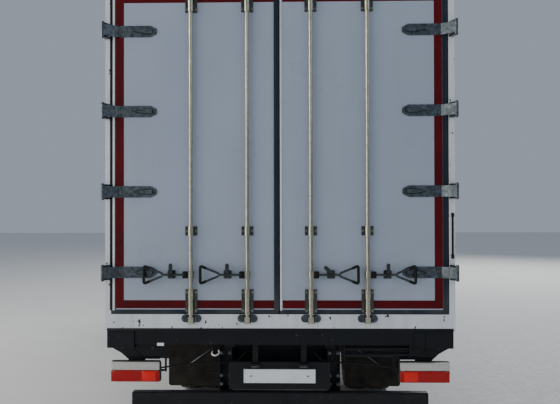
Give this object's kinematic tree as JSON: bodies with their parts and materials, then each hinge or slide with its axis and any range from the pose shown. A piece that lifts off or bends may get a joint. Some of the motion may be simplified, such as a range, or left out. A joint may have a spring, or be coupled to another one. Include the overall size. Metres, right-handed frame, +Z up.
{
  "type": "refrigerated truck",
  "caption": "Two-axle cab-over refrigerated truck with an insulated box body, nose-mounted cooling unit, double rear doors with lock bars, and a tilting cab.",
  "frame": {"origin": "on the ground under the middle of the vehicle's overall length and width", "axes": "+X to the vehicle's right, +Y forward, +Z up"},
  "size_m": [2.56, 8.2, 3.5499],
  "materials": {
    "frame_black": "satin black chassis paint, dusty",
    "cast_grey": "cast and forged iron, dull",
    "spring_steel": "dark spring steel",
    "engine": "plain cast block",
    "silencer": "dull aluminised steel",
    "tank": "dull aluminium tank",
    "box_white": "white gloss coat on sandwich panels",
    "door_white": "white gloss coat on insulated leaves",
    "floor": "aluminium floor",
    "galvanised": "dull galvanised steel, dirty",
    "bar_steel": "bright galvanised lock bars",
    "seal": "dark rubber lip",
    "cab_paint": "white cab paint",
    "black_plastic": "black moulded plastic",
    "interior": "grey interior plastic",
    "seat_cloth": "dark seat cloth",
    "glass": "lightly tinted glass",
    "lamp": "clear over red lamp lens",
    "plate": "blank white plate",
    "tyre": "road-worn tyre rubber",
    "flap": "black rubber flap",
    "wheel_paint": "silver-grey wheel paint",
    "unit_white": "white moulded housing"
  },
  "bodies": {
    "chassis": {"battery_box": "frame_black", "box_floor": "floor", "box_roof": "box_white", "box_walls": "box_white", "cab_steps": "black_plastic", "chassis_rails": "frame_black", "cross_members": "frame_black", "engine_block": "engine", "exhaust": "silencer", "floor_bearers": "galvanised", "frame_brackets": "frame_black", "front_axle": "cast_grey", "front_bumper": "black_plastic", "fuel_tank": "tank", "lamps": "lamp", "leaf_springs": "spring_steel", "mud_flaps": "flap", "mudguards": "black_plastic", "number_plate": "plate", "portal_fittings": "galvanised", "rear_axle": "cast_grey", "rear_beam": "frame_black", "rear_portal": "box_white", "refrigeration_unit": "unit_white", "side_guards": "tank", "underrun_bar": "frame_black"},
    "cab": {"cab_floor": "interior", "cab_front_panel": "cab_paint", "cab_rear_wall": "cab_paint", "cab_roof": "cab_paint", "cab_sides": "cab_paint", "cab_glass": "glass", "grille": "black_plastic", "seats": "seat_cloth", "dashboard": "interior", "mirrors": "black_plastic"},
    "steering_wheel": {"steering_wheel": "black_plastic"},
    "tie_rod": {"tie_rod": "cast_grey"},
    "cab_door_left": {"cab_door_left": "cab_paint", "door_glass_left": "glass"},
    "rear_door_left": {"rear_door_left": "door_white", "door_seal_left": "seal", "door_hinges_left": "galvanised", "lock_gear_left": "bar_steel"},
    "knuckle_left": {"knuckle_left": "cast_grey"},
    "front_wheel_left": {"front_tyre_left": "tyre", "front_rim_left": "wheel_paint"},
    "rear_wheels_left": {"rear_tyres_left": "tyre", "rear_rims_left": "wheel_paint"},
    "cab_door_right": {"cab_door_right": "cab_paint", "door_glass_right": "glass"},
    "rear_door_right": {"rear_door_right": "door_white", "door_seal_right": "seal", "door_hinges_right": "galvanised", "lock_gear_right": "bar_steel"},
    "knuckle_right": {"knuckle_right": "cast_grey"},
    "front_wheel_right": {"front_tyre_right": "tyre", "front_rim_right": "wheel_paint"},
    "rear_wheels_right": {"rear_tyres_right": "tyre", "rear_rims_right": "wheel_paint"}
  },
  "joints": [
    {"name": "cab_tilt", "type": "hinge", "parent": "chassis", "child": "cab", "pos_m": [0, 3.9, 0.86], "axis": [-1, 0, 0], "range_deg": [0, 45]},
    {"name": "cab_door_left_hinge", "type": "hinge", "parent": "cab", "child": "cab_door_left", "pos_m": [-1.0593, 3.7245, 1.28], "axis": [0, 0, -1], "range_deg": [0, 70]},
    {"name": "cab_door_right_hinge", "type": "hinge", "parent": "cab", "child": "cab_door_right", "pos_m": [1.0593, 3.7245, 1.28], "axis": [0, 0, 1], "range_deg": [0, 70]},
    {"name": "rear_door_left_hinge", "type": "hinge", "parent": "chassis", "child": "rear_door_left", "pos_m": [-1.225, -4.088, 2.29], "axis": [0, 0, -1], "range_deg": [0, 270]},
    {"name": "rear_door_right_hinge", "type": "hinge", "parent": "chassis", "child": "rear_door_right", "pos_m": [1.225, -4.088, 2.29], "axis": [0, 0, 1], "range_deg": [0, 270]},
    {"name": "steer_left", "type": "hinge", "parent": "chassis", "child": "knuckle_left", "pos_m": [-0.7, 2.92, 0.4275], "axis": [0, 0, 1], "range_deg": [-35, 35]},
    {"name": "steer_right", "type": "hinge", "parent": "chassis", "child": "knuckle_right", "pos_m": [0.7, 2.92, 0.4275], "axis": [0, 0, 1], "range_deg": [-35, 35]},
    {"name": "tie_rod_pin", "type": "hinge", "parent": "knuckle_left", "child": "tie_rod", "pos_m": [-0.7, 2.69, 0.397], "axis": [0, 0, 1], "range_deg": [-35, 35]},
    {"name": "steering_wheel_turn", "type": "hinge", "parent": "cab", "child": "steering_wheel", "pos_m": [-0.59, 3.33, 1.56], "axis": [0, -0.5736, 0.8192], "range_deg": [-540, 540]},
    {"name": "front_wheel_left_roll", "type": "hinge", "parent": "knuckle_left", "child": "front_wheel_left", "pos_m": [-0.84, 2.92, 0.4275], "axis": [-1, 0, 0], "continuous": true},
    {"name": "rear_wheels_left_roll", "type": "hinge", "parent": "chassis", "child": "rear_wheels_left", "pos_m": [-0.85, -1.58, 0.4275], "axis": [-1, 0, 0], "continuous": true},
    {"name": "front_wheel_right_roll", "type": "hinge", "parent": "knuckle_right", "child": "front_wheel_right", "pos_m": [0.84, 2.92, 0.4275], "axis": [-1, 0, 0], "continuous": true},
    {"name": "rear_wheels_right_roll", "type": "hinge", "parent": "chassis", "child": "rear_wheels_right", "pos_m": [0.85, -1.58, 0.4275], "axis": [-1, 0, 0], "continuous": true}
  ],
  "couplings": [
    {"joint": "steer_right", "follows": "steer_left", "ratio": 1},
    {"joint": "tie_rod_pin", "follows": "steer_left", "ratio": -1},
    {"joint": "steering_wheel_turn", "follows": "steer_left", "ratio": 15}
  ]
}
